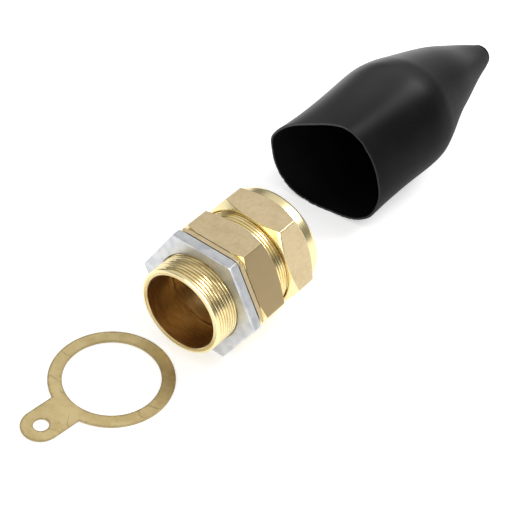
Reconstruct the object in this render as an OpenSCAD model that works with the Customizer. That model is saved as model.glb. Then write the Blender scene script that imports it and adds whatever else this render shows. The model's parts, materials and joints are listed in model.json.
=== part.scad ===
// Armoured-cable gland kit, M40: the gland itself with its locknut, an earth tag and a soft shroud.
// The gland's axis is Y. The middle of the entry mouth is the origin, +Y runs towards the cable
// and +Z is up. Everything lies on one flat surface at -locknut_af / 2.

/* [Entry thread] */
// Outside diameter of the entry thread
entry_thread_d = 40; // [36:0.5:42]
// Advance of every thread for one turn
thread_pitch = 1.5; // [1:0.25:2]
// Bore of the entry component
entry_bore_d = 34.6; // [33:0.2:35]
// Distance from the mouth to the front of the locknut
locknut_y = 11.9; // [9:0.1:12.2]

/* [Hexagons] */
// Across flats of the locknut
locknut_af = 51; // [50.5:0.5:53]
// Thickness of the locknut
locknut_t = 4.4; // [3:0.1:4.7]
// Across flats of the entry component and the body
brass_af = 50; // [49:0.5:50]
// Across flats of the back nut
nut_af = 49; // [49:0.5:50]
// Front face of the entry component's hexagon
entry_hex_y = 17.1; // [17:0.1:17.5]
// Rear face of the entry component's hexagon
entry_hex_end = 19.2; // [18.9:0.1:19.4]

/* [Gland body] */
// Front face of the body
body_y = 19.6; // [19.5:0.1:19.9]
// Where the body's hexagon has turned down to its neck
body_hex_end = 35.2; // [34:0.1:36]
// Rear end of the body's outside thread
body_end = 50.5; // [49:0.1:51]
// Outside diameter of the body's rear thread
body_thread_d = 46; // [45:0.5:46.5]

/* [Back nut] */
// Front face of the back nut
nut_y = 41.9; // [41.5:0.1:43]
// Rear face of the back nut
nut_end = 62.4; // [60.5:0.1:64]
// Bore of the back nut, for the cable's outer sheath
sheath_bore_d = 41; // [36:0.5:42]
// Thickness of the skid washer
washer_t = 1; // [0.8:0.1:1.4]

/* [Earth tag] */
// Bore of the tag's ring
tag_bore_d = 40.4; // [40.4:0.1:41]
// Outside diameter of the tag's ring
tag_outer_d = 52; // [51:0.5:56]
// Thickness of the tag
tag_t = 0.9; // [0.8:0.1:1.5]
// From the middle of the ring to the bolt hole in the lug
tag_reach = 37; // [36:0.5:42]
// Bolt hole in the lug
tag_hole_d = 6.4; // [5.3:0.1:7]
// Width of the lug, which has a round end
tag_lug_w = 16.5; // [15:0.5:20]

/* [Shroud] */
// Wall of the soft shroud
shroud_wall = 1.1; // [0.8:0.1:1.6]
// Plane of the shroud's mouth
shroud_mouth_y = 116; // [110:1:125]
// Where the shroud's barrel ends and its cone starts
shroud_shoulder_y = 170; // [166:1:178]
// Middle of the shroud's round tip
shroud_tip_y = 242; // [235:1:255]
// Outside radius of the barrel at the shoulder
shroud_shoulder_r = 29.5; // [28:0.5:30]
// Outside radius of the tip
shroud_tip_r = 5.7; // [5:0.1:7]

/* [Hidden] */
$fn = 96;
fit_gap = 0.06;                            // radial clearance of every thread and turning fit
cut = 1;                                   // how far a cutting shape passes the face it opens
overlap = 0.2;                             // how far joined solids run into each other
floor_z = -locknut_af / 2;
corner_r = brass_af / 2 / cos(30);         // corners of the two front brass hexagons
nut_corner_r = nut_af / 2 / cos(30);
nut_turn = 3.3;                            // how far the nut is turned from the body's flats
under_nut_d = entry_thread_d - 0.04;       // the thread where the locknut stands
bore_web_d = 36;                           // opening through the body's web
spigot_d = 45.28;                          // entry component's rear thread, inside the body
spigot_end = 29;
cone_seat_y = 15;                          // where the entry bore opens out for the armour cone
cone_seat_d = 37.2;
cone_bore_d = 33.2;
cone_tip_y = 41;
ring_y = 29.6;                             // clamping ring
ring_end = 37.5;
ring_d = 41.8;
body_web_y = 39;                           // web between the ring's seat and the seal's seat
seal_seat_y = 41;
seal_seat_d = 41;
seal_end = 51.8;
seal_bore_d = 33.6;
seal_chamfer = 1.2;
neck_r = 24.3;                             // where the body's hexagon ends, and the nut's begins
washer_y = 55.4;
nut_web_y = washer_y + washer_t + 0.06;    // rear wall of the back nut
nut_bore_d = body_thread_d + 2 * fit_gap;
tag_centre = [-11.6, -27.4];
tag_turn = 173.6;                          // the lug's heading, from +Y, seen from above
slice_t = 0.2;                             // thickness of the slices that the shroud is hulled from
shroud_axis_x = -5.8;
shroud_tip_x = -4.9;
shroud_tip_up = 24;                        // height of the tip's middle above the surface

// A solid of revolution about Y: each point is [radius, y].
module turned(points) {
    rotate([-90, 0, 0]) rotate_extrude() polygon(points);
}

// A plain cylinder along Y.
module rod_y(d, y0, y1) {
    translate([0, y0, 0]) rotate([-90, 0, 0]) cylinder(h = y1 - y0, d = d);
}

// A hexagonal bar along Y, flats up and down.
module hex_y(af, y0, y1) {
    translate([0, y0, 0]) rotate([-90, 0, 0]) cylinder(h = y1 - y0, d = af / cos(30), $fn = 6);
}

// A hexagonal bar whose corners are turned off to the outline given as [radius, y] points.
module turned_hex(af, y0, y1, outline) {
    intersection() {
        hex_y(af, y0, y1);
        turned(outline);
    }
}

module locknut() {
    corner = locknut_af / 2 / cos(30);
    face = corner - 0.9;
    chamfer_run = 0.5;
    rear = locknut_y + locknut_t;
    color([0.78, 0.79, 0.8]) difference() {
        turned_hex(locknut_af, locknut_y, rear,
                   [[0, locknut_y], [face, locknut_y], [corner, locknut_y + chamfer_run],
                    [corner, rear - chamfer_run], [face, rear], [0, rear]]);
        rod_y(under_nut_d + 2 * fit_gap, locknut_y - cut, rear + cut);
    }
}

// Threaded inlet with its thin hexagon; a wider thread behind it screws into the body.
module entry_component() {
    thread_r = entry_thread_d / 2;
    mouth_drop = 0.5;                      // chamfer at the mouth: inwards, then along the axis
    mouth_run = 0.8;
    relief = 0.4 * thread_pitch;           // a fine groove parts the free thread from the rest
    relief_r = thread_r - 0.3;
    free_end = locknut_y - 0.2 - relief;
    front_drop = 1.1;                      // the hexagon's chamfers
    rear_drop = 1.3;
    hex_run = 0.6;
    color([0.82, 0.7, 0.42]) difference() {
        union() {
            turned([[0, 0], [thread_r - mouth_drop, 0], [thread_r, mouth_run], [thread_r, free_end],
                    [relief_r, free_end], [relief_r, free_end + relief],
                    [under_nut_d / 2, free_end + relief], [under_nut_d / 2, entry_hex_y + overlap],
                    [0, entry_hex_y + overlap]]);
            turned_hex(brass_af, entry_hex_y, entry_hex_end,
                       [[0, entry_hex_y], [corner_r - front_drop, entry_hex_y],
                        [corner_r, entry_hex_y + hex_run], [corner_r, entry_hex_end - hex_run],
                        [corner_r - rear_drop, entry_hex_end], [0, entry_hex_end]]);
            rod_y(spigot_d, entry_hex_end - overlap, spigot_end);
        }
        rod_y(entry_bore_d, -cut, cone_seat_y + cut);
        rod_y(cone_seat_d, cone_seat_y, spigot_end + cut);
    }
}

// Loose cone that the steel wires of the cable's armour are spread over.
module armour_cone() {
    spigot_r = cone_seat_d / 2 - fit_gap;
    play = 0.2;                            // left in front of the cone's foot
    shoulder = 0.4;                        // where the spigot turns into the cone
    tip_wall = 0.9;
    color([0.76, 0.64, 0.38]) turned([
        [cone_bore_d / 2, cone_seat_y + play], [spigot_r, cone_seat_y + play],
        [spigot_r, spigot_end - shoulder], [spigot_r - shoulder, spigot_end + shoulder],
        [cone_bore_d / 2 + tip_wall, cone_tip_y], [cone_bore_d / 2, cone_tip_y]]);
}

// Ring that the body pushes over the wires, to clamp them against the cone.
module clamping_ring() {
    front_bore_r = 20.1;
    rear_bore_r = 18.5;
    color([0.8, 0.68, 0.4]) turned([
        [front_bore_r, ring_y], [ring_d / 2, ring_y], [ring_d / 2, ring_end], [rear_bore_r, ring_end]]);
}

// Wide hexagon with a thread inside its front end and outside its rear end.
module gland_body() {
    front_drop = 2.7;                      // front chamfer of the hexagon
    front_run = 1.6;
    rear_run = 2.6;                        // the corners run down to the neck over this length
    thread_r = body_thread_d / 2;
    neck_run = 0.9;
    end_chamfer = 0.6;
    color([0.8, 0.69, 0.43]) difference() {
        union() {
            turned_hex(brass_af, body_y, body_hex_end,
                       [[0, body_y], [corner_r - front_drop, body_y],
                        [corner_r, body_y + front_run], [corner_r, body_hex_end - rear_run],
                        [neck_r, body_hex_end], [0, body_hex_end]]);
            turned([[0, body_hex_end - overlap], [neck_r - overlap / 2, body_hex_end - overlap],
                    [thread_r, body_hex_end + neck_run], [thread_r, body_end - end_chamfer],
                    [thread_r - end_chamfer, body_end], [0, body_end]]);
        }
        rod_y(spigot_d + 2 * fit_gap, body_y - cut, ring_y - 0.3);
        rod_y(ring_d + 2 * fit_gap, body_y, body_web_y);
        rod_y(bore_web_d, body_y, body_end);
        rod_y(seal_seat_d, seal_seat_y, body_end + cut);
    }
}

// Rubber ring that the back nut squeezes on to the cable's outer sheath.
module outer_seal() {
    squeeze = 0.05;
    seal_r = seal_seat_d / 2 - squeeze;
    bore_r = seal_bore_d / 2;
    front = seal_seat_y + 0.1;
    bore_chamfer = 0.8;
    color([0.08, 0.08, 0.08]) turned([
        [bore_r, front], [seal_r, front], [seal_r, seal_end - seal_chamfer],
        [seal_r - seal_chamfer, seal_end], [bore_r + bore_chamfer, seal_end],
        [bore_r, seal_end - bore_chamfer]]);
}

// Thin washer between the turning nut and the seal, so that the seal isn't twisted.
module skid_washer() {
    inner_d = sheath_bore_d - 0.6;
    color([0.85, 0.85, 0.8]) difference() {
        rod_y(nut_bore_d - 2 * fit_gap, washer_y, washer_y + washer_t);
        rod_y(inner_d, washer_y - cut, washer_y + washer_t + cut);
    }
}

// Hexagon that runs out into a round ring at its rear end.
module back_nut() {
    front_run = 2;                         // front chamfer of the hexagon
    hex_run = 11.6;                        // from the front face to where the corners are turned off
    band_r = 24.4;                         // round band at the rear end, with a small step before it
    band_step = 0.3;
    band = 5.6;
    round_r = 23.5;
    round_run = 1.2;
    color([0.82, 0.71, 0.44]) rotate([0, nut_turn, 0]) difference() {
        turned_hex(nut_af, nut_y, nut_end,
                   [[0, nut_y], [neck_r, nut_y], [nut_corner_r, nut_y + front_run],
                    [nut_corner_r, nut_y + hex_run], [band_r + band_step, nut_end - band - 0.1],
                    [band_r, nut_end - band], [band_r - band_step, nut_end - round_run],
                    [round_r, nut_end], [0, nut_end]]);
        rod_y(nut_bore_d, nut_y - cut, nut_web_y);
        rod_y(sheath_bore_d, nut_web_y - cut, nut_end + cut);
    }
}

// Flat ring with a lug for the earth wire, lying on the surface.
module earth_tag() {
    color([0.78, 0.69, 0.42])
    translate([tag_centre.x, tag_centre.y, floor_z]) rotate([0, 0, tag_turn])
    difference() {
        union() {
            cylinder(h = tag_t, d = tag_outer_d);
            translate([-tag_lug_w / 2, 0, 0]) cube([tag_lug_w, tag_reach, tag_t]);
            translate([0, tag_reach, 0]) cylinder(h = tag_t, d = tag_lug_w);
        }
        translate([0, 0, -cut]) cylinder(h = tag_t + 2 * cut, d = tag_bore_d);
        translate([0, tag_reach, -cut]) cylinder(h = tag_t + 2 * cut, d = tag_hole_d);
    }
}

// Thin slice of the shroud's slack mouth: a round opening with a pinched corner at its left.
// Each circle is [x, height above the surface, radius, facets].
module mouth_slice(inset) {
    opening = [-4.1, 25.6, 25.6, 48];
    pinch = [-32, 26.5, 9, 24];
    flat_side = [0.9, 21, 20.8, 48];
    rotate([90, 0, 0]) linear_extrude(height = slice_t, center = true) hull()
        for (c = [opening, pinch, flat_side])
            translate([c[0], floor_z + c[1]]) circle(r = c[2] - inset, $fn = c[3]);
}

// Outside of the shroud, or its inside where inset is the wall.
module shroud_form(inset, mouth_y) {
    hull() {
        translate([0, mouth_y, 0]) mouth_slice(inset);
        translate([shroud_axis_x, shroud_shoulder_y, floor_z + shroud_shoulder_r])
            rotate([90, 0, 0]) cylinder(h = slice_t, r = shroud_shoulder_r - inset, $fn = 64);
        translate([shroud_tip_x, shroud_tip_y, floor_z + shroud_tip_up])
            sphere(r = shroud_tip_r - inset, $fn = 32);
    }
}

// Soft PVC cap that keeps dirt off the fitted gland; it lies on the surface, open end to the gland.
module shroud() {
    color([0.1, 0.1, 0.11]) difference() {
        shroud_form(0, shroud_mouth_y);
        shroud_form(shroud_wall, shroud_mouth_y - cut);
    }
}

locknut();
entry_component();
armour_cone();
clamping_ring();
gland_body();
outer_seal();
skid_washer();
back_nut();
earth_tag();
shroud();
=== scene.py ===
# %% [markdown]
# # A brass cable gland, its earth tag and its shroud
#
# The object is a kit that ends an armoured cable. The gland itself is a stack of turned pieces on one
# axis: a threaded inlet with a locknut, a body, and a back nut, with a cone, a clamping ring, a rubber
# seal and a washer inside. Beside it lie a flat brass tag for the earth wire and a soft black shroud.
#
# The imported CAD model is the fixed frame. Each detailed piece stands for one CAD node, in the same
# place and at the same size, and rides on that node's body.

# %% Load the frame
import math

import bpy
import bmesh
from mathutils import Matrix, Vector
from mathutils import noise
from mathutils.geometry import delaunay_2d_cdt
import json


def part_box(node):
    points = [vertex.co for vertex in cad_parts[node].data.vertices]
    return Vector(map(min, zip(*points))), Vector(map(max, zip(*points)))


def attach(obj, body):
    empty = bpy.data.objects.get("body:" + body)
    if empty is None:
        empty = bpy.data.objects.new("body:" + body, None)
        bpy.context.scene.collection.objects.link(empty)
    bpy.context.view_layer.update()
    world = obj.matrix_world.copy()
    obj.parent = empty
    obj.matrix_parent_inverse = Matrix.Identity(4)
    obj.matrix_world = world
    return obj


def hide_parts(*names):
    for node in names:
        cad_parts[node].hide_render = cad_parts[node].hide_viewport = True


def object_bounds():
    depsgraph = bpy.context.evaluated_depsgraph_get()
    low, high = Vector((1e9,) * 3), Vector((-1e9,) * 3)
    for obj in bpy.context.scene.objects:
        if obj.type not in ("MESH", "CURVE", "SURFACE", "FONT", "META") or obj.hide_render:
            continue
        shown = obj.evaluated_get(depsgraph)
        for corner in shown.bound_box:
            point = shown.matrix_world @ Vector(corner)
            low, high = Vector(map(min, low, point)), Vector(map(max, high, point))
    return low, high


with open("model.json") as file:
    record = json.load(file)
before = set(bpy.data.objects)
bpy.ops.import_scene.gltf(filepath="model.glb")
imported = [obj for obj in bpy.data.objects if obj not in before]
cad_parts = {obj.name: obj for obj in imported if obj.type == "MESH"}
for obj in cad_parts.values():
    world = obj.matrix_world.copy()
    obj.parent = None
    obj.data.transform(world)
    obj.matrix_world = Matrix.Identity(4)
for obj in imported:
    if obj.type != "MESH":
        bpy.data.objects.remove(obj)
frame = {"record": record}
cad_low, cad_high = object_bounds()
MM = 0.001
print("CAD box, mm:", [round(v / MM, 1) for v in (*cad_low, *cad_high)])

# %% [markdown]
# Many sizes below come from the frame's own boxes, and the rest are given. The gland's axis is Y,
# with the mouth at y = 0, so a turned piece is known by its front and rear faces and its largest
# radius. A hexagon's corners point along X and its flats face up and down, so half its box's width is
# the corner radius and half its height is the distance from the axis to a flat.


# %% Read the sizes of a turned node
def faces_of(node):
    """Front face, rear face, largest radius and distance to the flats of a node on the axis, in mm."""
    low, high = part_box(node)
    return low.y / MM, high.y / MM, high.x / MM, high.z / MM


FLOOR = cad_low.z
for name in ("locknut", "entry_component", "gland_body", "back_nut"):
    print(name, [round(v, 2) for v in faces_of(name)])

# %% [markdown]
# Node trees are easier to read as expressions than as lists of links. The class below wraps one output
# socket, so that a * b + 1 adds the Math nodes itself, the reflected forms let 1 - a work, and one
# method adds any other node: its settings first, then the values or wires of its sockets.


# %% A wire, and a board to put nodes on
class Wire:
    """One output socket of a node tree. Arithmetic on wires adds Math nodes."""

    def __init__(self, board, socket):
        self.board = board
        self.socket = socket

    def math(self, operation, *others):
        return self.board.math(operation, self, *others)

    def __add__(self, other):
        return self.math("ADD", other)

    def __radd__(self, other):
        return self.board.math("ADD", other, self)

    def __sub__(self, other):
        return self.math("SUBTRACT", other)

    def __rsub__(self, other):
        return self.board.math("SUBTRACT", other, self)

    def __mul__(self, other):
        return self.math("MULTIPLY", other)

    def __rmul__(self, other):
        return self.board.math("MULTIPLY", other, self)

    def __truediv__(self, other):
        return self.math("DIVIDE", other)

    def __rtruediv__(self, other):
        return self.board.math("DIVIDE", other, self)

    def __pow__(self, other):
        return self.math("POWER", other)


class Board:
    """A node tree that nodes are put on."""

    def __init__(self, tree):
        self.tree = tree
        tree.nodes.clear()

    def add(self, kind, settings=None, sockets=None, out=0):
        """Puts one node on the board and returns one of its outputs as a wire."""
        node = self.tree.nodes.new(kind)
        for name, value in (settings or {}).items():
            if name == "stops":
                ramp = node.color_ramp.elements
                while len(ramp) < len(value):
                    ramp.new(0.5)
                for element, (place, colour) in zip(ramp, value):
                    element.position = place
                    element.color = colour
            else:
                setattr(node, name, value)
        for key, value in (sockets or {}).items():
            if isinstance(value, Wire):
                self.tree.links.new(value.socket, node.inputs[key])
            else:
                node.inputs[key].default_value = value
        return Wire(self, node.outputs[out]) if len(node.outputs) else node

    def math(self, operation, *values):
        return self.add("ShaderNodeMath", {"operation": operation}, dict(enumerate(values)))

    def step(self, value, start, end):
        """0 before start, 1 after end, and a smooth step between them."""
        span = {"interpolation_type": "SMOOTHSTEP"}
        return self.add("ShaderNodeMapRange", span, {"Value": value, "From Min": start, "From Max": end})

    def parts(self, vector):
        """The three numbers of a vector wire."""
        split = self.add("ShaderNodeSeparateXYZ", {}, {0: vector})
        return [Wire(self, socket) for socket in split.socket.node.outputs]

    def vector(self, x, y, z):
        return self.add("ShaderNodeCombineXYZ", {}, {0: x, 1: y, 2: z})


# %% [markdown]
# ## Turning and milling
#
# Nearly every piece of the gland is turned on a lathe from hexagonal bar, and some are threaded. One
# Geometry Nodes tree repeats what the machines do. It takes an outline of points (radius, place along
# the axis) and sweeps it round Y on a grid. Where the outline stands outside the bar it is cut back to
# the bar's flats, so the chamfers leave their curved edges on the flats as on the real hexagons. Where
# the outline's "thread" value isn't 0, a V groove runs round as a right-handed helix: it cuts inwards
# for 1 and outwards, as in a tapped bore, for -1. The columns crowd together at the hexagon's corners.
# Two more inputs finish a nut: a bevel along the edges where its flats meet its faces, and a turn of the
# whole hexagon about the axis. A boolean of a cylinder and a hexagon would give the same shape, but with
# long thin faces and no rounded edges, and a modelled helix would be hard to join to it.

# %% The lathe tree
lathe = bpy.data.node_groups.new("lathe", "GeometryNodeTree")
LATHE_INPUTS = {
    "Outline": "NodeSocketGeometry",
    "Columns": "NodeSocketInt",
    "Flat Distance": "NodeSocketFloat",
    "Corner Crowding": "NodeSocketFloat",
    "Corner Rounding": "NodeSocketFloat",
    "Edge Rounding": "NodeSocketFloat",
    "Front": "NodeSocketFloat",
    "Rear": "NodeSocketFloat",
    "Bevel": "NodeSocketFloat",
    "Pitch": "NodeSocketFloat",
    "Thread Depth": "NodeSocketFloat",
    "Thread Turn": "NodeSocketFloat",
    "Hexagon Turn": "NodeSocketFloat",
    "Finish": "NodeSocketMaterial",
}
LATHE_IDS = {}
for label, kind in LATHE_INPUTS.items():
    LATHE_IDS[label] = lathe.interface.new_socket(label, in_out="INPUT", socket_type=kind).identifier
lathe.interface.new_socket("Piece", in_out="OUTPUT", socket_type="NodeSocketGeometry")

# %% Sweep the outline
board = Board(lathe)
entry = lathe.nodes.new("NodeGroupInput")
given = {label: Wire(board, entry.outputs[label]) for label in LATHE_INPUTS}
rows = board.add("GeometryNodeAttributeDomainSize", {"component": "MESH"}, {0: given["Outline"]})
grid = board.add(
    "GeometryNodeMeshGrid", {}, {"Vertices X": given["Columns"] + 1, "Vertices Y": rows}
)
index = board.add("GeometryNodeInputIndex")
column = (index / rows).math("FLOOR")
row = index - column * rows
point = board.add(
    "GeometryNodeSampleIndex",
    {"data_type": "FLOAT_VECTOR", "domain": "POINT"},
    {0: given["Outline"], "Value": board.add("GeometryNodeInputPosition"), "Index": row},
)
radius, along, _ = board.parts(point)
thread_mark = board.add("GeometryNodeInputNamedAttribute", {"data_type": "FLOAT"}, {"Name": "thread"})
thread = board.add(
    "GeometryNodeSampleIndex",
    {"data_type": "FLOAT", "domain": "POINT"},
    {0: given["Outline"], "Value": thread_mark, "Index": row},
)
SIXTH = math.pi / 3
even = column / given["Columns"] * math.tau
angle = even + given["Corner Crowding"] / 6 * (even * 6).math("SINE")
print("lathe tree:", len(lathe.nodes), "nodes so far")

# %% Mill the flats and bevel their ends
off_flat = ((angle / SIXTH + 0.5).math("FRACT") - 0.5).math("ABSOLUTE") * SIXTH
nearest = off_flat.math("COSINE")
next_flat = (SIXTH - off_flat).math("COSINE")
reach = nearest.math("SMOOTH_MAX", next_flat, given["Corner Rounding"])
to_flat = given["Flat Distance"] / reach
milled_radius = radius.math("SMOOTH_MIN", to_flat, given["Edge Rounding"])
left_of_bevel = given["Bevel"] - (to_flat - radius).math("MAXIMUM", 0)
bevelled = along.math("MAXIMUM", given["Front"] + left_of_bevel)
seated = bevelled.math("MINIMUM", given["Rear"] - left_of_bevel)
print("lathe tree:", len(lathe.nodes), "nodes with the milling")

# %% [markdown]
# A worn thread isn't a sharp V: its crests are flat, its roots are narrow and its sides are slightly
# curved. So the groove is a mix of a straight ramp and a smooth one, between the crest and the root.

# %% Cut the thread and put every point in its place
CREST = 0.42
ROOT = 0.06
CURVED = 0.35
phase = (along / given["Pitch"] - angle / math.tau + given["Thread Turn"]).math("FRACT")
ramp_up = 1 - ((phase * 2 - 1).math("ABSOLUTE"))
straight = board.add(
    "ShaderNodeMapRange", {}, {"Value": ramp_up, "From Min": CREST, "From Max": 1 - ROOT}
)
groove = board.step(ramp_up, CREST, 1 - ROOT) * CURVED + (1 - CURVED) * straight
cut_radius = milled_radius - groove * thread * given["Thread Depth"]
facing = angle + given["Hexagon Turn"]
place = board.vector(cut_radius * facing.math("SINE"), seated, cut_radius * facing.math("COSINE"))
swept = board.add("GeometryNodeSetPosition", {}, {0: grid, "Position": place})
print("lathe tree:", len(lathe.nodes), "nodes with the thread")

# %% Mark the flats and grooves for the finishes
MILLED_EDGE = 0.3 * MM
STORED = {"data_type": "FLOAT", "domain": "POINT"}


def mark(geometry, name, value):
    """Stores a number on every point of the piece, for its finish to read."""
    sockets = {0: geometry, "Name": name, "Value": value}
    return board.add("GeometryNodeStoreNamedAttribute", STORED, sockets)


flats = mark(swept, "milled", board.step(radius - to_flat, 0, MILLED_EDGE))
grooves = mark(flats, "groove", groove * thread.math("ABSOLUTE"))
threads = mark(grooves, "threaded", thread.math("ABSOLUTE"))
print("lathe tree:", len(lathe.nodes), "nodes with the marks")

# %% Close the piece and give it its finish
WELD = 0.002 * MM
SHARP = math.radians(38)
closed = board.add("GeometryNodeMergeByDistance", {}, {0: threads, "Distance": WELD})
bend = board.add("GeometryNodeInputMeshEdgeAngle")
smooth_faces = board.add("GeometryNodeSetShadeSmooth", {"domain": "FACE"}, {0: closed, "Shade Smooth": True})
smooth_edges = board.add(
    "GeometryNodeSetShadeSmooth",
    {"domain": "EDGE"},
    {0: smooth_faces, "Selection": bend.math("GREATER_THAN", SHARP), "Shade Smooth": False},
)
real = board.add("GeometryNodeRealizeInstances", {}, {0: smooth_edges})
done = board.add("GeometryNodeSetMaterial", {}, {0: real, "Material": given["Finish"]})
leave = lathe.nodes.new("NodeGroupOutput")
lathe.links.new(done.socket, leave.inputs[0])
print("lathe tree:", len(lathe.nodes), "nodes")

# %% [markdown]
# An outline is a closed line of stations round half of the piece's cross-section. Between two stations
# the rows are as close as the shape needs: a few on a plain wall, ten to a turn on a thread. The
# thread's amount at each station lets a groove run in and out instead of stopping at a wall.


# %% Draw an outline
def outline(stations):
    """A mesh line through the stations (radius, along, row spacing to the next, thread), all in mm."""
    points = []
    amounts = []
    loop = list(stations) + [stations[0]]
    for (r0, y0, spacing, t0), (r1, y1, _, t1) in zip(loop, loop[1:]):
        count = max(1, math.ceil(math.hypot(r1 - r0, y1 - y0) / spacing))
        for i in range(count):
            share = i / count
            points.append(((r0 + share * (r1 - r0)) * MM, (y0 + share * (y1 - y0)) * MM, 0))
            amounts.append(t0 + share * (t1 - t0))
    points.append(points[0])
    amounts.append(amounts[0])
    section = bpy.data.meshes.new("outline")
    section.from_pydata(points, [(i, i + 1) for i in range(len(points) - 1)], [])
    section.attributes.new("thread", "FLOAT", "POINT").data.foreach_set("value", amounts)
    return section


# %% Keep a finished mesh
def keep(mesh, name):
    """A finished piece: an object at the origin whose place is in its mesh."""
    piece = bpy.data.objects.new(name, mesh)
    mesh.name = name
    bpy.context.scene.collection.objects.link(piece)
    print(name, len(mesh.vertices), "points", len(mesh.polygons), "faces")
    return piece


def evaluated_mesh(maker):
    """A plain mesh of what an object's modifiers make; the object itself is then removed."""
    graph = bpy.context.evaluated_depsgraph_get()
    mesh = bpy.data.meshes.new_from_object(maker.evaluated_get(graph), depsgraph=graph)
    bpy.data.objects.remove(maker)
    return mesh


# %% [markdown]
# One function puts an outline on the lathe, hands over the sizes and takes the finished piece off. A
# round piece is turned from a bar so wide that its flats are never reached. Inputs are set by their
# identifiers, before the object is first evaluated.

# %% Put an outline on the lathe
PITCH = 1.5
THREAD_DEPTH = 0.66
ROUND_BAR = 1000.0
HEX_CROWDING = 0.82
EDGE_ROUNDING = 0.35
REAR_BEVEL = 0.15
NO_BEVEL = -1.0
TURN_COLUMNS = 240
CRISP = 0.0002


def turn(name, stations, finish, flat=ROUND_BAR, start=0.0, bevel=0.0, facing=0.0, worn=CRISP):
    """Turns one piece from a bar whose flats are flat mm from the axis.

    start is where the thread begins, in turns. bevel is the flats' front bevel, in mm. facing turns the
    hexagon, in degrees, and worn rounds its corners.
    """
    maker = bpy.data.objects.new(name, outline(stations))
    bpy.context.scene.collection.objects.link(maker)
    machine = maker.modifiers.new("lathe", "NODES")
    machine.node_group = lathe
    settings = {
        "Columns": TURN_COLUMNS,
        "Flat Distance": flat * MM,
        "Corner Crowding": HEX_CROWDING if flat < ROUND_BAR else 0.0,
        "Corner Rounding": worn,
        "Edge Rounding": EDGE_ROUNDING * MM,
        "Front": min(station[1] for station in stations) * MM,
        "Rear": (max(station[1] for station in stations) + max(0, bevel - REAR_BEVEL)) * MM,
        "Bevel": bevel * MM if bevel else NO_BEVEL,
        "Pitch": PITCH * MM,
        "Thread Depth": THREAD_DEPTH * MM,
        "Thread Turn": start,
        "Hexagon Turn": math.radians(facing),
        "Finish": finish,
    }
    for label, value in settings.items():
        machine[LATHE_IDS[label]] = value
    return keep(evaluated_mesh(maker), name)


# %% [markdown]
# ## Finishes
#
# Each finish is a set of small differences in colour, gloss and relief. They are read from Object
# coordinates, which are metres in the object's own frame, so a scale of 200 gives clouds of about
# 5 mm. Metal gets its look mostly from gloss: the same brass is satin where it is milled and bright
# where it is threaded, and deep in the bore it is painted brown as shade and reflection.


# %% Start a finish and end it
def new_finish(name):
    """A material, its board and the place of each point in metres."""
    material = bpy.data.materials.new(name)
    material.use_nodes = True
    board = Board(material.node_tree)
    place = board.add("ShaderNodeTexCoord", out=3)
    return material, board, place


def surface(board, sockets):
    """The Principled shader and the material's output."""
    shader = board.add("ShaderNodeBsdfPrincipled", {}, sockets)
    board.add("ShaderNodeOutputMaterial", {}, {"Surface": shader})


# %% Patterns and colours that every finish uses
def clouds(board, place, scale, detail=3.0, rough=0.55):
    """Soft noise between 0 and 1."""
    sockets = {"Vector": place, "Scale": scale, "Detail": detail, "Roughness": rough}
    return board.add("ShaderNodeTexNoise", {}, sockets)


def tint(board, amount, first, second):
    """A colour between two, by an amount from 0 to 1."""
    sockets = {0: amount, 6: first, 7: second}
    return board.add("ShaderNodeMix", {"data_type": "RGBA"}, sockets, out=2)


def attribute(board, name):
    """A number that is stored on the piece's points."""
    return board.add("ShaderNodeAttribute", {"attribute_name": name}, out=2)


def relief(board, height, depth):
    """A Bump node for a height from 0 to 1 that stands for a depth in metres."""
    return board.add("ShaderNodeBump", {}, {"Height": height, "Distance": depth, "Strength": 1.0})


def rgb(red, green, blue):
    """An opaque colour, as a socket or a ramp's stop takes it."""
    return (red, green, blue, 1.0)
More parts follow.
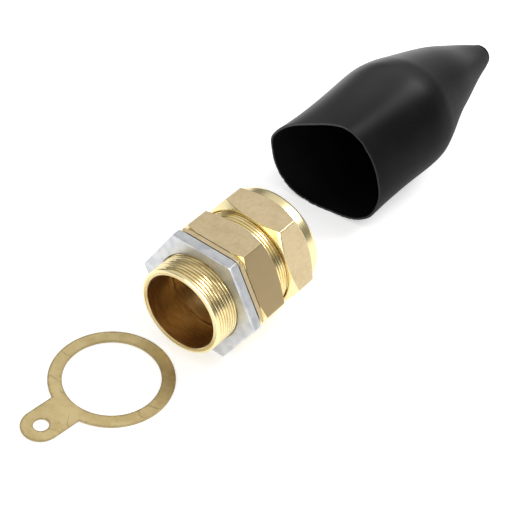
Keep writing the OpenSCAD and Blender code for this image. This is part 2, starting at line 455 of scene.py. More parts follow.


# %% [markdown]
# ### Brass
#
# Fresh brass from the machine has a soft golden grey shine. The hexagons' flats are the bar's own
# drawn surface, with faint lengthwise marks and cloudy handling marks, and one flat of the body,
# facing up and to the right, is painted darker as shade. The turned faces carry fine rings. In the
# roots of a thread light bounces from brass to brass, so the roots are painted deeper and darker in
# colour, as painted shade and reflection.


# %% Brass of the gland's pieces
def turned_brass(name, bore_radius, shaded_flat=ROUND_BAR):
    """Brass painted dull brown inside the bore_radius, in mm, as shade and reflection, and satin or bright
    outside it.

    The last argument is how far the flat that is painted darker as shade lies from the axis, in mm; it faces
    up and to the right.
    """
    material, board, place = new_finish(name)
    x, y, z = board.parts(place)
    radius = (x * x + z * z).math("SQRT")
    milled = attribute(board, "milled")
    groove = attribute(board, "groove")
    threaded = attribute(board, "threaded")
    # painted shade and reflection: inside the bore the brass is coloured dull brown
    inside = 1 - board.step(radius, (bore_radius + 0.05) * MM, (bore_radius + 0.3) * MM)
    mottle = clouds(board, place, 160.0, 5.0, 0.6)
    grain = clouds(board, board.vector(x * 5.0, y * 0.6, z * 5.0), 260.0, 4.0)
    rings = clouds(board, board.vector(radius, y, 0.0), 4200.0, 2.0)
    handling = clouds(board, place, 620.0, 6.0, 0.7)
    drawn = clouds(board, board.vector(x * 2.5, y * 0.5, z * 2.5), 900.0, 4.0, 0.75)
    speckle = board.step(drawn, 0.38, 0.66)
    satin = tint(board, board.step(mottle, 0.35, 0.7), rgb(0.81, 0.66, 0.41), rgb(0.71, 0.565, 0.335))
    satin = tint(board, speckle * 0.55, satin, rgb(0.62, 0.48, 0.27))
    # painted shade: the flat facing up and to the right is darkened, as the light would leave it
    over_flat = x * math.cos(math.pi / 6) + z * math.sin(math.pi / 6)
    flat_painted_shade = board.step(over_flat, (shaded_flat - 0.6) * MM, (shaded_flat - 0.1) * MM)
    satin = tint(board, flat_painted_shade * 0.85, satin, rgb(0.455, 0.34, 0.175))
    bright = tint(board, board.step(rings, 0.3, 0.7), rgb(0.94, 0.82, 0.50), rgb(0.87, 0.73, 0.39))
    # painted shade and reflection: the thread's roots are coloured darker and deeper gold
    roots_painted_shade = tint(board, groove ** 1.5, bright, rgb(0.52, 0.33, 0.06))
    outside = tint(board, threaded, tint(board, milled, bright, satin), roots_painted_shade)
    # painted shade and reflection deep in the bore: dull brown, with lighter streaks
    brown = tint(board, board.step(mottle, 0.3, 0.7), rgb(0.66, 0.44, 0.19), rgb(0.52, 0.33, 0.125))
    streaks = clouds(board, board.vector(x * 0.15, y, z * 0.15), 1100.0, 4.0, 0.7)
    brown = tint(board, board.step(streaks, 0.45, 0.7) * 0.7, brown, rgb(0.82, 0.60, 0.30))
    colour = tint(board, inside, outside, brown)
    satin_gloss = 0.27 + 0.14 * handling + 0.07 * grain
    turned_gloss = 0.20 + 0.12 * rings
    gloss = turned_gloss + (satin_gloss - turned_gloss) * milled
    gloss = gloss - threaded * 0.05 + inside * 0.06
    marks = rings * (1 - milled) * 0.5 + grain * milled * 0.7 + handling * 0.25 * milled
    surface(board, {
        "Base Color": colour,
        "Metallic": 1.0,
        "Roughness": gloss,
        "Normal": relief(board, marks, 0.012 * MM),
    })
    return material


# %% [markdown]
# ### Zinc plate
#
# The locknut is steel with a thin zinc plate. It is grey and satin, with a cloudy spangle where the
# plate took unevenly. Round the bore it is painted a little warmer, a painted reflection of the brass beside
# it.


# %% Zinc plate of the locknut
def zinc_plate():
    material, board, place = new_finish("zinc_plate")
    x, y, z = board.parts(place)
    radius = (x * x + z * z).math("SQRT")
    spangle = clouds(board, place, 230.0, 6.0, 0.62)
    film = clouds(board, place, 85.0, 3.0)
    scratches = clouds(board, board.vector(x * 0.5, y * 4.0, z * 5.0), 900.0, 3.0, 0.7)
    pale = tint(board, board.step(spangle, 0.35, 0.68), rgb(0.69, 0.705, 0.725), rgb(0.54, 0.56, 0.59))
    warm = tint(board, board.step(film, 0.5, 0.75) * 0.5, pale, rgb(0.73, 0.71, 0.63))
    # painted reflection: the brass beside the bore, warming the plate round it
    brass_reflection_near_bore = 1 - board.step(radius, 20.0 * MM, 20.6 * MM)
    surface(board, {
        "Base Color": tint(board, brass_reflection_near_bore * 0.3, warm, rgb(0.62, 0.58, 0.48)),
        "Metallic": 1.0,
        "Roughness": 0.30 + 0.20 * spangle + 0.06 * scratches,
        "Normal": relief(board, spangle * 0.6 + scratches * 0.4, 0.03 * MM),
    })
    return material


# %% [markdown]
# ### Rubber, nylon and PVC
#
# The seal is matt black rubber with a fine bloom and the washer is off-white nylon.


# %% Rubber of the seal and nylon of the washer
def seal_rubber():
    material, board, place = new_finish("seal_rubber")
    bloom = clouds(board, place, 500.0, 5.0)
    surface(board, {
        "Base Color": tint(board, bloom, rgb(0.014, 0.014, 0.014), rgb(0.035, 0.035, 0.034)),
        "Roughness": 0.62 + 0.2 * bloom,
        "Normal": relief(board, bloom, 0.04 * MM),
    })
    return material


def nylon():
    material, board, place = new_finish("nylon")
    cloudy = clouds(board, place, 320.0, 3.0)
    surface(board, {
        "Base Color": tint(board, cloudy, rgb(0.70, 0.68, 0.60), rgb(0.60, 0.58, 0.50)),
        "Roughness": 0.38 + 0.12 * cloudy,
        "Normal": relief(board, cloudy, 0.02 * MM),
        "Subsurface Weight": 0.1,
    })
    return material


# %% [markdown]
# The shroud is dipped PVC: nearly black, with a soft shine along the top of the barrel and at the
# shoulder. That shine is a painted sheen: a coat is laid on only there. Its weight is worked out from
# how far round the skin a point lies, so it needs the shroud's middle line, which falls towards the
# tip, and its radius, which shrinks. The cut rim is a little greyer than the skin.

# %% PVC of the shroud
BARREL_RADIUS = 29.4 * MM
TIP_RADIUS = 6.4 * MM
BARREL_HEIGHT = 29.0 * MM
TIP_HEIGHT = 24.0 * MM
SHROUD_ASIDE = -5.6 * MM


def black_pvc():
    material, board, place = new_finish("black_pvc")
    x, y, z = board.parts(place)
    patches = clouds(board, place, 42.0, 3.0)
    streaks = clouds(board, board.vector(x * 3.0, y * 0.35, z * 3.0), 95.0, 4.0)
    pores = clouds(board, place, 2600.0, 2.0)
    dust = board.step(clouds(board, place, 900.0, 6.0, 0.75), 0.62, 0.75)
    skin = tint(board, board.step(patches, 0.3, 0.7), rgb(0.0045, 0.0045, 0.0048), rgb(0.008, 0.008, 0.0083))
    narrowing = board.step(y, 168.0 * MM, 242.0 * MM)
    wide = BARREL_RADIUS - (BARREL_RADIUS - TIP_RADIUS) * narrowing
    above = (z - FLOOR - BARREL_HEIGHT + (BARREL_HEIGHT - TIP_HEIGHT) * narrowing) / wide
    aside = (x - SHROUD_ASIDE) / wide
    # painted sheen: extra coat laid on along the top and upper left of the barrel and shoulder
    shine = 0.95 - 0.33 * narrowing - 0.5 * board.step(y, 215.0 * MM, 245.0 * MM)
    painted_sheen = board.step(above * 0.85 - aside * 0.5, 0.3, 1.0) * shine
    surface(board, {
        "Base Color": tint(board, dust * 0.35 + attribute(board, "cut"), skin, rgb(0.035, 0.035, 0.036)),
        "Roughness": 0.40 + 0.16 * patches + 0.08 * streaks + 0.05 * pores,
        "Specular IOR Level": 0.06,
        "Coat Weight": 0.03 + painted_sheen,
        "Coat Roughness": 0.40,
        "Normal": relief(board, pores * 0.25 + streaks * 0.5, 0.06 * MM),
    })
    return material


# %% [markdown]
# ## The locknut
#
# A thin hexagonal nut of plated steel holds the gland in the wall of an enclosure. Its corners are
# turned off slightly on both faces, the edges of its flats are bevelled and worn, and its bore is tapped.
#
# In each outline below, a station is (radius, place along the axis, row spacing to the next station,
# amount of thread), and the stations run from the front of the bore outwards and back to it.

# %% Turn the locknut
front, rear, corner, flat = faces_of("locknut")
chamfer_drop = 1.2
chamfer_run = 0.5
flat_inset = 0.9
countersink = 0.55
bore = 20.06
TAPPED = -0.65
locknut = turn(
    "locknut_plated",
    [
        (bore + countersink, front, 0.6, 0),
        (flat - flat_inset, front, 0.12, 0),
        (corner - chamfer_drop, front, 0.12, 0),
        (corner, front + chamfer_run, 0.5, 0),
        (corner, rear - chamfer_run, 0.12, 0),
        (corner - chamfer_drop, rear, 0.12, 0),
        (flat - flat_inset, rear, 0.6, 0),
        (bore + countersink, rear, 0.12, 0),
        (bore, rear - 0.5, 0.15, TAPPED),
        (bore, front + 0.5, 0.12, TAPPED),
    ],
    zinc_plate(),
    flat,
    bevel=0.55,
    worn=0.002,
)
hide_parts("locknut")
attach(locknut, "locknut")

# %% [markdown]
# ## The entry component
#
# The threaded inlet carries a thin hexagon, and behind it a wider thread that screws into the body.
# Its mouth has a flat rim and a small chamfer, where the first ridge of the thread runs in.

# %% Turn the entry component
_, end, corner, flat = faces_of("entry_component")
thread_radius = 20.0
bore = 17.3
hex_front = 17.1
hex_rear = 19.2
spigot = 22.62
seat = 18.6
seat_front = 15.0
entry_component = turn(
    "entry_component_brass",
    [
        (bore + 0.3, 0, 0.5, 0),
        (thread_radius - 0.85, 0, 0.12, 0),
        (thread_radius - 0.25, 0.35, 0.15, 0),
        (thread_radius, 0.95, 0.14, 0.15),
        (thread_radius, 1.7, 0.14, 1),
        (thread_radius, hex_front - 1.3, 0.14, 1),
        (thread_radius, hex_front - 0.3, 0.15, 0),
        (thread_radius + 0.25, hex_front, 0.6, 0),
        (corner - 1.2, hex_front, 0.12, 0),
        (corner, hex_front + 0.6, 0.3, 0),
        (corner, hex_rear - 0.6, 0.12, 0),
        (corner - 1.4, hex_rear, 0.6, 0),
        (spigot, hex_rear, 0.3, 0),
        (spigot, hex_rear + 0.5, 0.2, 1),
        (spigot, end - 0.6, 0.2, 1),
        (spigot - 0.5, end, 0.5, 0),
        (seat + 0.3, end, 0.15, 0),
        (seat, end - 0.3, 1.2, 0),
        (seat, seat_front, 0.4, 0),
        (bore, seat_front, 0.5, 0),
        (bore, 0.3, 0.12, 0),
    ],
    turned_brass("entry_brass", bore),
    flat,
    start=0.27,
)
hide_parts("entry_component")
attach(entry_component, "entry_component")

# %% [markdown]
# ## Inside the gland
#
# The steel wires of the cable's armour are spread over a cone and pinched by a ring that the body
# pushes over it. Behind them a rubber ring seals on the cable's outer sheath, and a thin washer lets the
# back nut turn without twisting it.

# %% Turn the cone and the ring
front, rear, largest, _ = faces_of("armour_cone")
bore = 16.6
taper = 12.0
armour_cone = turn(
    "armour_cone_brass",
    [
        (bore + 0.15, front, 0.4, 0),
        (largest - 0.4, front, 0.15, 0),
        (largest, front + 0.4, 1.0, 0),
        (largest, rear - taper - 0.4, 0.2, 0),
        (largest - 0.4, rear - taper + 0.4, 0.8, 0),
        (bore + 0.85, rear - 0.2, 0.15, 0),
        (bore + 0.3, rear, 0.15, 0),
        (bore, rear - 0.3, 0.9, 0),
        (bore, front + 0.4, 0.15, 0),
    ],
    # painted shade: the bore's dull brown reaches 2.2 mm past the bore, over the cone's front face
    turned_brass("cone_brass", bore + 2.2),
)
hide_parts("armour_cone")
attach(armour_cone, "armour_cone")

front, rear, largest, _ = faces_of("clamping_ring")
wide_bore = 20.15
narrow_bore = 18.55
clamping_ring = turn(
    "clamping_ring_brass",
    [
        (wide_bore, front, 0.3, 0),
        (largest - 0.2, front, 0.12, 0),
        (largest, front + 0.2, 0.8, 0),
        (largest, rear - 0.3, 0.12, 0),
        (largest - 0.3, rear, 0.4, 0),
        (narrow_bore, rear, 0.5, 0),
    ],
    turned_brass("ring_brass", 18.0),
)
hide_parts("clamping_ring")
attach(clamping_ring, "clamping_ring")

# %% Turn the seal and the washer
front, rear, largest, _ = faces_of("outer_seal")
bore = 16.8
outer_seal = turn(
    "outer_seal_rubber",
    [
        (bore + 0.3, front, 0.4, 0),
        (largest - 0.4, front, 0.15, 0),
        (largest, front + 0.4, 0.8, 0),
        (largest, rear - 1.3, 0.15, 0),
        (largest - 1.3, rear, 0.4, 0),
        (bore + 0.8, rear, 0.15, 0),
        (bore, rear - 0.8, 0.8, 0),
        (bore + 0.5, (front + rear) / 2, 0.8, 0),
        (bore, front + 0.3, 0.2, 0),
    ],
    seal_rubber(),
)
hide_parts("outer_seal")
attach(outer_seal, "gland_body")

front, rear, largest, _ = faces_of("skid_washer")
bore = 20.1
skid_washer = turn(
    "skid_washer_nylon",
    [
        (bore + 0.15, front, 0.4, 0),
        (largest - 0.15, front, 0.1, 0),
        (largest, front + 0.2, 0.3, 0),
        (largest, rear - 0.2, 0.1, 0),
        (largest - 0.15, rear, 0.4, 0),
        (bore + 0.15, rear, 0.1, 0),
        (bore, rear - 0.2, 0.3, 0),
        (bore, front + 0.2, 0.1, 0),
    ],
    nylon(),
)
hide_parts("skid_washer")
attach(skid_washer, "skid_washer")

# %% [markdown]
# ## The body
#
# The body is the longest hexagon. Its front chamfer is broad, its rear corners are turned down to a
# neck, and a fine thread behind the neck takes the back nut. Inside, a web parts the clamping ring's
# seat from the seal's.

# %% Turn the body
front, end, corner, flat = faces_of("gland_body")
hex_rear = 35.2
neck = 24.3
thread_radius = 23.0
tapped = 22.72
ring_seat = 20.96
ring_front = 29.3
web = 18.0
web_front = 39.0
web_rear = 41.0
seal_seat = 20.5
gland_body = turn(
    "gland_body_brass",
    [
        (tapped + 0.5, front, 0.5, 0),
        (corner - 3.6, front, 0.12, 0),
        (corner - 2.7, front + 0.12, 0.12, 0),
        (corner, front + 1.6, 0.7, 0),
        (corner, hex_rear - 2.7, 0.14, 0),
        (neck + 0.3, hex_rear - 0.15, 0.12, 0),
        (neck - 0.1, hex_rear, 0.15, 0),
        (thread_radius, hex_rear + 0.9, 0.14, 0),
        (thread_radius, hex_rear + 1.5, 0.14, 1),
        (thread_radius, end - 1.3, 0.14, 1),
        (thread_radius - 0.1, end - 0.6, 0.14, 0.3),
        (thread_radius - 0.6, end, 0.4, 0),
        (seal_seat + 0.4, end, 0.14, 0),
        (seal_seat, end - 0.4, 1.2, 0),
        (seal_seat, web_rear, 0.5, 0),
        (web, web_rear, 0.5, 0),
        (web, web_front, 0.5, 0),
        (ring_seat, web_front, 1.2, 0),
        (ring_seat, ring_front, 0.4, 0),
        (tapped, ring_front, 0.2, 0),
        (tapped, ring_front - 0.8, 0.2, TAPPED),
        (tapped, front + 0.7, 0.2, TAPPED),
        (tapped, front + 0.5, 0.15, 0),
    ],
    turned_brass("body_brass", ring_seat, flat),
    flat,
    start=0.4,
)
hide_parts("gland_body")
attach(gland_body, "gland_body")

# %% [markdown]
# ## The back nut
#
# A hexagon at its front, which runs out into a round ring at the rear: the tool turns the corners down
# along a slow taper, so each flat ends in an arc. A narrow band with a rounded edge finishes the end.
# The nut was left a few degrees out of line with the body, which shows where their corners meet.

# %% Turn the back nut
front, end, _, _ = faces_of("back_nut")
flat = 24.5
corner = flat / math.cos(math.pi / 6)
nut_facing = 3.3
hex_run = 11.6
neck = 24.3
band = 5.6
band_radius = 24.4
nut_bore = 23.06
sheath = 20.5
inner_wall = end - 5.94
back_nut = turn(
    "back_nut_brass",
    [
        (nut_bore + 0.7, front, 0.3, 0),
        (neck - 0.1, front, 0.12, 0),
        (neck + 0.4, front + 0.2, 0.12, 0),
        (corner, front + 2.0, 0.6, 0),
        (corner, front + hex_run, 0.14, 0),
        (band_radius + 0.25, end - band - 0.15, 0.1, 0),
        (band_radius, end - band, 0.4, 0),
        (band_radius - 0.2, end - 1.4, 0.12, 0),
        (band_radius - 0.45, end - 0.5, 0.12, 0),
        (band_radius - 1.0, end, 0.4, 0),
        (sheath + 0.6, end, 0.15, 0),
        (sheath, end - 0.6, 0.8, 0),
        (sheath, inner_wall, 0.4, 0),
        (nut_bore, inner_wall, 0.5, 0),
        (nut_bore, inner_wall - 3.0, 0.2, 0),
        (nut_bore, inner_wall - 3.4, 0.2, TAPPED),
        (nut_bore, front + 0.9, 0.15, TAPPED),
        (nut_bore, front + 0.7, 0.15, 0),
    ],
    turned_brass("nut_brass", nut_bore + 0.2),
    flat,
    start=0.4,
    facing=nut_facing,
    worn=0.0007,
)
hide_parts("back_nut")
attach(back_nut, "back_nut")

# %% [markdown]
# ## The earth tag
#
# The tag is pressed from brass sheet: a flat ring that goes round the inlet, and a lug with a bolt hole
# for the earth wire. The record's two bores give the middle of the ring and of the bolt hole, and the
# node's box gives the outside. A flat curve could be filled and thickened, but its few long faces
# couldn't be bent. Here the outline and an even field of inner points are joined into small triangles,
# given a thickness, rounded along the edges as by the press, and warped by a few hundredths.

# %% Find the tag's sizes
mounts = {mount["name"]: mount for mount in frame["record"]["mounts"]}
ring_middle = Vector(mounts["tag_bore"]["pos_m"]).to_2d()
bolt_middle = Vector(mounts["tag_bolt_hole"]["pos_m"]).to_2d()
low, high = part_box("earth_tag")
ring_bore = mounts["tag_bore"]["dims"]["r_mm"] * MM
bolt_bore = mounts["tag_bolt_hole"]["dims"]["r_mm"] * MM
ring_outer = high.y - ring_middle.y
lug_half = bolt_middle.y - low.y
heading = (bolt_middle - ring_middle).normalized()
aside = Vector((-heading.y, heading.x))
print("ring", round(ring_outer / MM, 2), "lug", round(2 * lug_half / MM, 2), "mm")

# %% Helpers for drawing on the sheet
def on_circle(middle, radius, angle):
    return middle + radius * Vector((math.cos(angle), math.sin(angle)))


def arc(middle, radius, first, last, count):
    """Points on a circle from one angle to another, the last left out."""
    return [on_circle(middle, radius, first + (last - first) * i / count) for i in range(count)]


def line(first, last, spacing):
    """Points from first towards last, the last left out."""
    count = max(1, round((last - first).length / spacing))
    return [first.lerp(last, i / count) for i in range(count)]


def loop_edges(first, count):
    """The edges of a closed loop of count points that begins at number first."""
    return [(first + i, first + (i + 1) % count) for i in range(count)]


# %% Draw the sheet's edges
GRAIN = 0.9 * MM
lug_angle = math.atan2(heading.y, heading.x)
root_angle = math.asin(lug_half / ring_outer)
left_root = on_circle(ring_middle, ring_outer, lug_angle + root_angle)
right_root = on_circle(ring_middle, ring_outer, lug_angle - root_angle)
left_end = bolt_middle + aside * lug_half
right_end = bolt_middle - aside * lug_half
edge = arc(ring_middle, ring_outer, lug_angle + root_angle, lug_angle - root_angle + math.tau, 170)
edge += line(right_root, right_end, GRAIN)
edge += arc(bolt_middle, lug_half, lug_angle - math.pi / 2, lug_angle + math.pi / 2, 34)
edge += line(left_end, left_root, GRAIN)
ring_hole = arc(ring_middle, ring_bore, 0, math.tau, 160)
bolt_hole = arc(bolt_middle, bolt_bore, 0, math.tau, 36)
print("sheet:", len(edge), "edge points,", len(ring_hole), "and", len(bolt_hole), "round the holes")


# %% Fill the sheet with inner points
def on_sheet(p, margin):
    """Is this place on the sheet, further than the margin from its edges?"""
    from_ring = (p - ring_middle).length
    from_bolt = (p - bolt_middle).length
    along = (p - ring_middle).dot(heading)
    across = abs((p - ring_middle).dot(aside))
    in_ring = from_ring < ring_outer - margin
    straight = 0 < along < (bolt_middle - ring_middle).length and across < lug_half - margin
    in_lug = straight or from_bolt < lug_half - margin
    return (in_ring or in_lug) and from_ring > ring_bore + margin and from_bolt > bolt_bore + margin


field = []
steps_x = math.ceil((high.x - low.x) / GRAIN)
steps_y = math.ceil((high.y - low.y) / GRAIN)
for i in range(steps_x + 1):
    for j in range(steps_y + 1):
        spot = Vector((low.x + (i + 0.5 * (j % 2)) * GRAIN, low.y + j * GRAIN))
        if on_sheet(spot, 0.55 * GRAIN):
            field.append(spot)
print("sheet:", len(field), "inner points")

# %% Join the points into triangles
corners = edge + ring_hole + bolt_hole + field
rims = loop_edges(0, len(edge))
rims += loop_edges(len(edge), len(ring_hole))
rims += loop_edges(len(edge) + len(ring_hole), len(bolt_hole))
spots, _, cells, *_ = delaunay_2d_cdt(corners, rims, [], 0, 1e-7)


def centre(cell):
    return sum((spots[i] for i in cell), Vector((0, 0))) / len(cell)


cells = [cell for cell in cells if on_sheet(centre(cell), 0)]
sheet = bpy.data.meshes.new("sheet")
sheet.from_pydata([(*spot, 0) for spot in spots], [], cells)
shaped = bmesh.new()
shaped.from_mesh(sheet)
loose = [v for v in shaped.verts if not v.link_faces]
bmesh.ops.delete(shaped, geom=loose, context="VERTS")
bmesh.ops.recalc_face_normals(shaped, faces=shaped.faces)
if sum(f.normal.z for f in shaped.faces) < 0:
    bmesh.ops.reverse_faces(shaped, faces=shaped.faces)
rim_mark = shaped.verts.layers.float.new("rim")
for v in shaped.verts:
    v[rim_mark] = 1.0 if v.is_boundary else 0.0
shaped.to_mesh(sheet)
shaped.free()
print("sheet:", len(sheet.polygons), "triangles")

# %% [markdown]
# Two modifiers finish both thin pieces, the tag and later the shroud: Solidify gives a skin its wall,
# on one side of it, and Bevel rounds the wall's edges.

# %% Give a skin its wall
SHARP_EDGE = math.radians(50)


def walled(skin_object, thickness, side, edge):
    """The mesh of a skin with a wall outside it (side 1) or inside it (side -1) and rounded edges."""
    wall = skin_object.modifiers.new("wall", "SOLIDIFY")
    wall.thickness = thickness
    wall.offset = side
    lip = skin_object.modifiers.new("lip", "BEVEL")
    lip.width = edge
    lip.segments = 2
    lip.limit_method = "ANGLE"
    lip.angle_limit = SHARP_EDGE
    mesh = evaluated_mesh(skin_object)
    for polygon in mesh.polygons:
        polygon.use_smooth = True
    return mesh


# %% Press the sheet
WARP = 0.07 * MM
PRESSED_EDGE = 0.13 * MM
WAVES_PER_METRE = 45
thickness = high.z - low.z - WARP
press = bpy.data.objects.new("press", sheet)
bpy.context.scene.collection.objects.link(press)
tag_mesh = walled(press, thickness, 1.0, PRESSED_EDGE)
for v in tag_mesh.vertices:
    wave = noise.noise((v.co.x * WAVES_PER_METRE, v.co.y * WAVES_PER_METRE, 3.7))
    v.co.z += low.z + WARP * (0.5 + 0.5 * max(-1, min(1, wave * 1.6)))
tag_mesh.set_sharp_from_angle(angle=math.radians(45))

# %% [markdown]
# The sheet is rolled, so its shine has faint lines in one direction, and handling has left it cloudy,
# with small dark spots and a few curved scratches. Along the pressed edges it is a little darker.


# %% Sheet brass
def sheet_brass():
    material, board, place = new_finish("sheet_brass")
    x, y, z = board.parts(place)
    near_edge = attribute(board, "rim")
    curve = clouds(board, place, 55.0, 1.0) - 0.5
    scratch = 1 - board.step(curve.math("ABSOLUTE"), 0.002, 0.010)
    worn = board.step(clouds(board, place, 95.0, 2.0), 0.48, 0.6)
    film = clouds(board, place, 120.0, 4.0)
    rolled = clouds(board, board.vector(x * 6.0, y * 0.7, z), 420.0, 4.0, 0.65)
    spots_seen = board.step(clouds(board, place, 480.0, 5.0, 0.7), 0.63, 0.72)
    creases = clouds(board, place, 60.0, 2.0)
    base = tint(board, board.step(film, 0.35, 0.7), rgb(0.78, 0.635, 0.335), rgb(0.66, 0.52, 0.25))
    lined = tint(board, scratch * worn * 0.55, base, rgb(0.30, 0.24, 0.12))
    edged = tint(board, near_edge * 0.75, lined, rgb(0.34, 0.27, 0.14))
    surface(board, {
        "Base Color": tint(board, spots_seen * 0.6, edged, rgb(0.36, 0.28, 0.12)),
        "Metallic": 1.0,
        "Roughness": 0.40 + 0.13 * film + 0.08 * rolled,
        "Normal": relief(board, creases * 0.8 + rolled * 0.06, 0.4 * MM),
    })
    return material


earth_tag = keep(tag_mesh, "earth_tag_sheet")
earth_tag.data.materials.clear()
earth_tag.data.materials.append(sheet_brass())
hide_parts("earth_tag")
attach(earth_tag, "earth_tag")

# %% [markdown]
# ## The shroud
#
# The shroud is a soft cap, dipped in PVC on a former: a barrel, a shoulder and a cone with a small round
# tip. Nothing holds its mouth, so the rim has sagged out of round and is pinched at one side. The skin
# is a loft: the slack rim turns into a circle along the barrel, and a line of radii carries the circle to
# the tip. The Solidify modifier then gives the skin its wall. A cloth simulation would also sag it, but
# its rest shape would be left to chance, while here the rim's few points say where it lies.

# %% The rim and the former
# The rim's points are (aside from its middle, height above the table), in mm.
RIM = [
    (-30.6, 24.5), (-29.0, 31.6), (-22.5, 38.7), (-11.0, 45.0), (1.0, 50.2),
    (9.6, 50.2), (17.9, 44.4), (24.8, 34.0), (28.2, 20.6), (25.6, 9.0),
    (17.5, 2.4), (4.5, 0.3), (-8.8, 0.4), (-18.0, 3.6), (-26.0, 11.6),
]
RIM_MIDDLE = (-9.8, 117.0)
RIM_LEAN = math.tan(math.radians(5))
COLUMNS = 240
WALL = 1.15
tip_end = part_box("shroud")[1].y / MM
# The former's stations are (distance from the rim, radius, aside, height above the table), in mm.
FORMER = [
    (0.0, 27.3, -6.6, 27.3), (14.0, 28.0, -6.5, 28.0), (30.0, 28.8, -6.2, 28.8), (44.0, 29.3, -5.8, 29.3),
    (53.0, 28.6, -5.5, 29.1), (61.0, 26.6, -5.7, 28.9), (74.0, 22.8, -6.2, 28.6), (90.0, 18.2, -6.6, 27.8),
    (106.0, 12.9, -6.3, 26.5), (117.0, 9.4, -5.7, 25.4), (123.0, 7.5, -5.2, 24.7), (126.5, 6.2, -5.0, 24.3),
]
LENGTH = tip_end - RIM_MIDDLE[1]
print("shroud length", round(LENGTH, 1), "mm")


# %% Smooth curves through the rim and the former
def curve_through(values, place):
    """A smooth curve through evenly numbered values, for a place between two of them."""
    i = int(math.floor(place))
    u = place - i
    a, b, c, d = (values(i + k) for k in (-1, 0, 1, 2))
    squared = (2 * a - 5 * b + 4 * c - d) * u ** 2
    cubed = (3 * b - a - 3 * c + d) * u ** 3
    return 0.5 * (2 * b + (c - a) * u + squared + cubed)


def rim_point(place):
    """The slack rim at a place from 0 to 1 round it: (aside, height above the surface)."""
    return [curve_through(lambda i: RIM[i % len(RIM)][k], place * len(RIM)) for k in (0, 1)]


def slope(i, k):
    """How fast number k of the former changes at station i."""
    before = FORMER[max(0, i - 1)]
    after = FORMER[min(len(FORMER) - 1, i + 1)]
    return (after[k] - before[k]) / (after[0] - before[0])


def former_at(along):
    """Radius, aside and height of the former's circle at a distance from the rim."""
    i = max(k for k in range(len(FORMER) - 1) if FORMER[k][0] <= along or k == 0)
    length = FORMER[i + 1][0] - FORMER[i][0]
    u = (along - FORMER[i][0]) / length
    rise = u * u * (3 - 2 * u)
    leave = u * (1 - u) ** 2 * length
    arrive = u * u * (u - 1) * length
    return [
        FORMER[i][k] * (1 - rise) + FORMER[i + 1][k] * rise + leave * slope(i, k) + arrive * slope(i + 1, k)
        for k in (1, 2, 3)
    ]


# %% A point of the skin
SLACK_LENGTH = 46.0
ROUND_FROM = FORMER[-1][0]
RIM_CORE = (-1.0, 25.7)


def skin_point(along, turn_share):
    """A point of the skin in mm: along from the rim, round by a share of a turn."""
    rim_x, rim_z = rim_point(turn_share)
    around = math.atan2(rim_z - RIM_CORE[1], rim_x - RIM_CORE[0])
    radius, aside, height = former_at(min(along, ROUND_FROM))
    if along > ROUND_FROM:
        cap = LENGTH - ROUND_FROM
        radius *= math.sqrt(max(0.0, 1 - ((along - ROUND_FROM) / cap) ** 2))
    round_x = aside + radius * math.cos(around)
    round_z = height + radius * math.sin(around)
    slack = max(0.0, 1 - along / SLACK_LENGTH) ** 1.5
    lean = RIM_LEAN * (rim_x if along < SLACK_LENGTH else 0.0) * slack
    x = round_x + slack * (RIM_MIDDLE[0] + rim_x - round_x)
    z = round_z + slack * (rim_z - round_z)
    return x, RIM_MIDDLE[1] + along + lean, z


# %% Loft the skin
def spread(first, last, count):
    """Numbers from first towards last, the last left out."""
    return [first + (last - first) * i / count for i in range(count)]


LIP = 1.2
CAP_ROWS = 12
stations = spread(0, LIP, 4) + spread(LIP, 10, 10) + spread(10, 50, 32) + spread(50, 70, 24)
stations += spread(70, ROUND_FROM, 42)
cap_turns = spread(0, math.pi / 2, CAP_ROWS)
stations += [ROUND_FROM + (LENGTH - ROUND_FROM) * math.sin(t) for t in cap_turns]
skin = [skin_point(along, column / COLUMNS) for along in stations for column in range(COLUMNS)]
pole = (former_at(ROUND_FROM)[1], tip_end, former_at(ROUND_FROM)[2])
quads = []
for row in range(len(stations) - 1):
    for column in range(COLUMNS):
        beside = (column + 1) % COLUMNS
        first = row * COLUMNS
        quads.append((first + column, first + beside, first + COLUMNS + beside, first + COLUMNS + column))
last_row = (len(stations) - 1) * COLUMNS
fan = [(last_row + c, last_row + (c + 1) % COLUMNS, len(skin)) for c in range(COLUMNS)]
print("skin:", len(stations), "rows of", COLUMNS)

# %% [markdown]
# The dips are soft: each is a place on the skin, how wide it is and how deep. They follow how a thick
# skin buckles, most of all at the shoulder, where the barrel's slack meets the stiffer cone. The rim was
# cut by hand, so it is a little ragged, most of all below.

# %% Dent the skin and cut the rim
# A dip is its middle, its width and its depth, in mm.
DIPS = [
    ((-22.0, 176.0, 46.0), 16.0, 0.4),
    ((2.0, 182.0, 52.0), 16.0, 0.3),
    ((16.0, 179.0, 42.0), 14.0, 0.6),
    ((22.5, 156.0, 38.0), 16.0, 0.5),
    ((12.0, 197.0, 20.0), 14.0, 0.8),
    ((-18.0, 146.0, 54.0), 18.0, 0.5),
]
DENT_TOWARDS = (-5.6, 26.0)
FIRM_TIP = 25.0
BUMPS = 0.3
LOW_RIM = 18.0


def dented(point):
    """Moves a point of the skin towards the shroud's middle line where it has a dip."""
    x, y, z = point
    inward = Vector((DENT_TOWARDS[0] - x, 0, DENT_TOWARDS[1] - z)).normalized()
    depth = 0.0
    for middle, width, deep in DIPS:
        away = (Vector(point) - Vector(middle)).length
        depth += deep * math.exp(-((away / width) ** 2))
    depth += BUMPS * noise.noise((x * 0.035, y * 0.02, z * 0.035))
    fade = min(1.0, max(0.0, (tip_end - y) / FIRM_TIP))
    return x + inward.x * depth * fade, y, z + inward.z * depth * fade


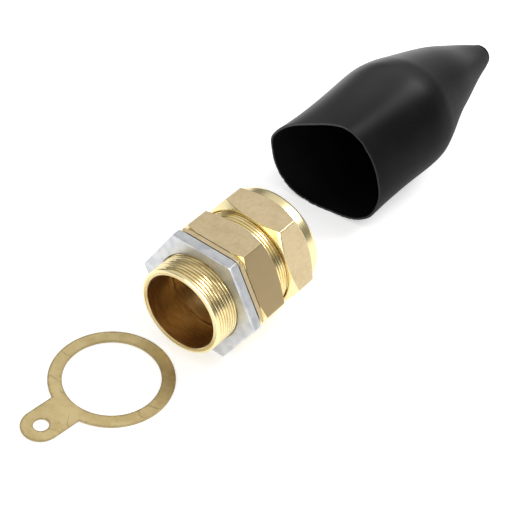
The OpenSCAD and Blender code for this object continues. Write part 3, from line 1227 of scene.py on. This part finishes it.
def cut_rim(point, along, low_share):
    """Makes the rim's edge ragged, finely and most of all low down, and then unevenly all round."""
    x, y, z = point
    fade = max(0.0, 1 - along / LIP)
    rough = noise.noise((x * 1.9, z * 1.9, 0.5)) * (0.10 + 0.22 * low_share)
    rough += noise.noise((x * 0.35, z * 0.35, 9.5)) * 0.25
    return x, y + rough * fade, z


shaped_skin = []
for number, point in enumerate(skin):
    along = stations[number // COLUMNS]
    x, y, z = cut_rim(dented(point), along, max(0.0, 1 - point[2] / LOW_RIM))
    shaped_skin.append((x * MM, y * MM, max(0.0, z) * MM + FLOOR))
shaped_skin.append((pole[0] * MM, pole[1] * MM, pole[2] * MM + FLOOR))
print("skin:", len(shaped_skin), "points, the tip at", round(tip_end, 1), "mm")

# %% Give the skin its wall and a rounded lip
LIP_EDGE = 0.22 * MM
skin_mesh = bpy.data.meshes.new("skin")
skin_mesh.from_pydata(shaped_skin, [], quads + fan)
fresh_cut = [1.0 if number < COLUMNS else 0.0 for number in range(len(shaped_skin))]
skin_mesh.attributes.new("cut", "FLOAT", "POINT").data.foreach_set("value", fresh_cut)
former = bpy.data.objects.new("former", skin_mesh)
bpy.context.scene.collection.objects.link(former)
shroud = keep(walled(former, WALL * MM, -1.0, LIP_EDGE), "shroud_pvc")
shroud.data.materials.clear()
shroud.data.materials.append(black_pvc())
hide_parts("shroud")
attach(shroud, "shroud")

# %% [markdown]
# ## Floor, light and camera
#
# Polished metal shows what stands round it, so most of the light comes from a wide bright ceiling,
# with a duller band near the horizon that gives the brass its darker golden lines. A low soft box in
# front makes the chamfers flash, and a high one behind draws the shine along the top of the shroud.

# %% Floor
floor_mesh = bpy.data.meshes.new("floor")
REACH = 6.0
sides = [(-REACH, -REACH), (REACH, -REACH), (REACH, REACH), (-REACH, REACH)]
UNDER = 0.05 * MM
floor_mesh.from_pydata([(x, y, FLOOR - UNDER) for x, y in sides], [], [(0, 1, 2, 3)])
floor = bpy.data.objects.new("floor", floor_mesh)
bpy.context.scene.collection.objects.link(floor)
table_top, board, place = new_finish("table_top")
surface(board, {
    "Base Color": rgb(0.90, 0.90, 0.90),
    "Roughness": 0.7,
    "Specular IOR Level": 0.2,
    "Emission Color": rgb(1.0, 1.0, 1.0),
    "Emission Strength": 0.5,
})
floor.data.materials.append(table_top)
print("table top at", round((FLOOR - UNDER) / MM, 2), "mm")

# %% Sky
# A stop is a place between the ground at 0 and the zenith at 1, and the light's colour there.
SKY_STOPS = [
    (0.0, rgb(0.75, 0.75, 0.75)),
    (0.485, rgb(0.65, 0.65, 0.65)),
    (0.515, rgb(0.28, 0.275, 0.27)),
    (0.68, rgb(0.21, 0.20, 0.19)),
    (0.75, rgb(0.95, 0.95, 0.95)),
    (1.0, rgb(0.95, 0.95, 0.95)),
]
SKY_STRENGTH = 0.82
world = bpy.data.worlds.new("studio")
bpy.context.scene.world = world
world.use_nodes = True
board = Board(world.node_tree)
toward = board.add("ShaderNodeTexCoord", out=0)
_, _, up = board.parts(toward)
bands = board.add(
    "ShaderNodeValToRGB",
    {"stops": SKY_STOPS},
    {0: up * 0.5 + 0.5},
)
sky = board.add("ShaderNodeBackground", {}, {"Color": bands, "Strength": SKY_STRENGTH})
board.add("ShaderNodeOutputWorld", {}, {"Surface": sky})
print("sky:", len(SKY_STOPS), "stops, strength", SKY_STRENGTH)


# %% Soft boxes
def soft_box(name, place, target, width, height, power):
    """A rectangular area light that faces the target."""
    data = bpy.data.lights.new(name, "AREA")
    data.shape = "RECTANGLE"
    data.size = width
    data.size_y = height
    data.energy = power
    lamp = bpy.data.objects.new(name, data)
    lamp.location = place
    lamp.rotation_euler = (Vector(target) - Vector(place)).to_track_quat("-Z", "Y").to_euler()
    bpy.context.scene.collection.objects.link(lamp)
    print(name, power, "W")


soft_box("front_box", (0.02, -1.1, 0.10), (0, 0.03, 0), 0.9, 0.20, 3.0)
soft_box("back_box", (0.42, 0.98, 1.10), (0, 0.06, 0), 0.55, 0.75, 8.5)

# %% Camera
# Azimuth, elevation and roll are in degrees, distance and target in mm.
CAMERA_AZIMUTH = 33.6
CAMERA_ELEVATION = 42.7
CAMERA_ROLL = 5.86
CAMERA_DISTANCE = 601
CAMERA_TARGET = Vector((2.58, 47.4, 0))
azimuth = math.radians(CAMERA_AZIMUTH)
elevation = math.radians(CAMERA_ELEVATION)
roll = math.radians(CAMERA_ROLL)
level_ahead = Vector((-math.sin(azimuth), math.cos(azimuth), 0))
ahead = level_ahead * math.cos(elevation) - Vector((0, 0, math.sin(elevation)))
level = Vector((math.cos(azimuth), math.sin(azimuth), 0))
upward = level.cross(ahead)
right = math.cos(roll) * level + math.sin(roll) * upward
top = -math.sin(roll) * level + math.cos(roll) * upward
lens = bpy.data.cameras.new("camera")
lens.lens = 100
lens.sensor_width = 36
camera = bpy.data.objects.new("camera", lens)
bpy.context.scene.collection.objects.link(camera)
stand = (CAMERA_TARGET - CAMERA_DISTANCE * ahead) * MM
turned = Matrix((right, top, -ahead)).transposed().to_4x4()
camera.matrix_world = Matrix.Translation(stand) @ turned
bpy.context.scene.camera = camera
bpy.context.scene.view_settings.view_transform = "Standard"
print("camera at, mm:", [round(v / MM, 1) for v in stand])

# %% [markdown]
# The last cell imports json once more.

# %% Last cell
import json
